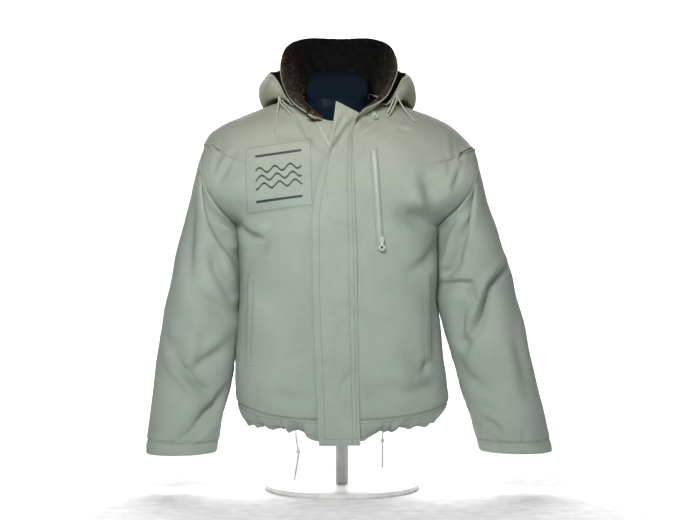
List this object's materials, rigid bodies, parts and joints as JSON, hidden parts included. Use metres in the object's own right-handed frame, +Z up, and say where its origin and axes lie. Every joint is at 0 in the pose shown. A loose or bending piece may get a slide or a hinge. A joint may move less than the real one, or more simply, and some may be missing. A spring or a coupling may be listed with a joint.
{
  "type": "deck jacket on torso form",
  "caption": "Padded deck jacket with pile-lined stand collar, folded hood, storm flap, zip chest pocket and gathered hem, shown on a limbless torso form on a round stand.",
  "frame": {"origin": "centre of the stand base's underside, under the pole's axis", "axes": "+Z up; -Y is the front of the jacket; +X is the wearer's left"},
  "size_m": [0.785, 0.3554, 0.8891],
  "materials": {
    "shell": "fine cotton twill, sage green",
    "pile": "deep pile, dark brown",
    "cord": "braided cord and woven tape, pale green",
    "metal": "satin",
    "form": "gloss navy black",
    "stand": "satin white"
  },
  "bodies": {
    "jacket": {"back": "shell", "chest_patch": "shell", "chest_slider": "metal", "chest_welt": "shell", "chest_zip": "cord", "collar_pile": "pile", "collar_shell": "shell", "collar_slider": "metal", "cuff_left": "shell", "cuff_right": "shell", "front_left": "shell", "front_right": "shell", "hem_back": "shell", "hem_cord_left_lower": "cord", "hem_cord_left_upper": "cord", "hem_cord_right_lower": "cord", "hem_cord_right_upper": "cord", "hem_front_left": "shell", "hem_front_right": "shell", "hem_stop_left": "metal", "hem_stop_right": "metal", "hood": "shell", "hood_bow_left": "cord", "hood_bow_right": "cord", "hood_cord_left": "cord", "hood_cord_right": "cord", "hood_eyelet_left": "metal", "hood_eyelet_right": "metal", "hood_knot_left": "cord", "hood_knot_right": "cord", "main_zip": "cord", "main_zip_top": "cord", "pocket_left": "shell", "pocket_right": "shell", "sleeve_left": "shell", "sleeve_right": "shell", "stand_base": "stand", "stand_pole": "stand", "storm_flap": "shell", "torso_form": "form", "under_flap": "shell"},
    "chest_pull": {"chest_pull": "metal"},
    "collar_pull": {"collar_pull": "metal"}
  },
  "joints": [
    {"name": "chest_pull_swing", "type": "hinge", "parent": "jacket", "child": "chest_pull", "pos_m": [0.07508, -0.14176, 0.48239], "axis": [-0.9796, -0.201, 0], "range_deg": [0, 120]},
    {"name": "collar_pull_swing", "type": "hinge", "parent": "jacket", "child": "collar_pull", "pos_m": [0.06102, -0.08956, 0.72422], "axis": [-0.9547, -0.2977, 0], "range_deg": [0, 75]}
  ]
}
